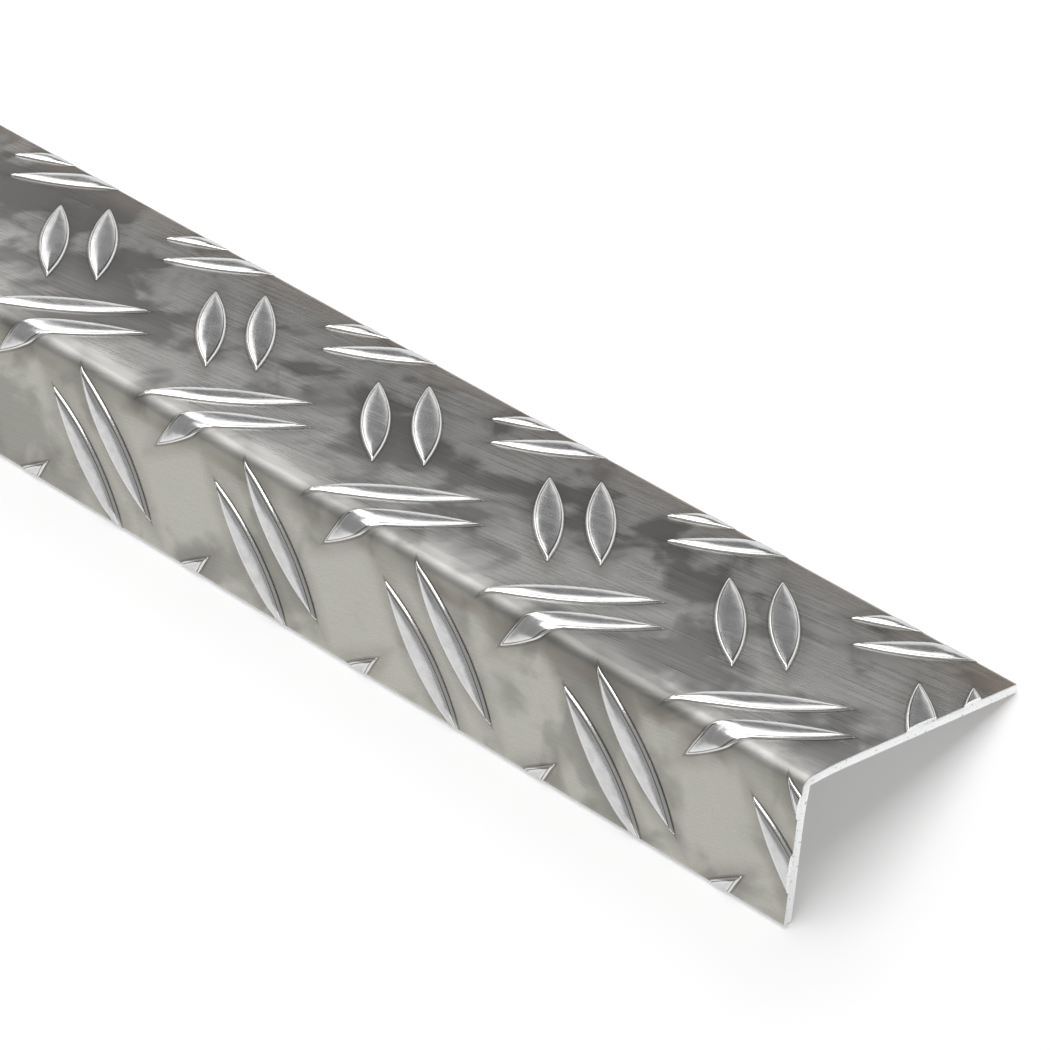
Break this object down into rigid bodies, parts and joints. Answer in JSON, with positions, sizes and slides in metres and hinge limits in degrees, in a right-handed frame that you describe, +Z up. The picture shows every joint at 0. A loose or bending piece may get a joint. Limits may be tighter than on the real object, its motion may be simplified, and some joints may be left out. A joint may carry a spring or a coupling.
{
  "type": "checker plate angle",
  "caption": "Length of bent aluminium checker plate with an unequal L section and crossed pairs of raised bars on its outer faces.",
  "frame": {"origin": "on the floor, below the middle of the stock's box", "axes": "+X along the length, +Y towards the wide leg's free edge, the narrow leg faces -Y, +Z up"},
  "size_m": [1, 0.0494, 0.0208],
  "materials": {
    "aluminium": "mill finish, lightly brushed along the rolling direction, bright raised bars"
  },
  "bodies": {
    "root": {"checker_plate_angle": "aluminium"}
  },
  "joints": []
}
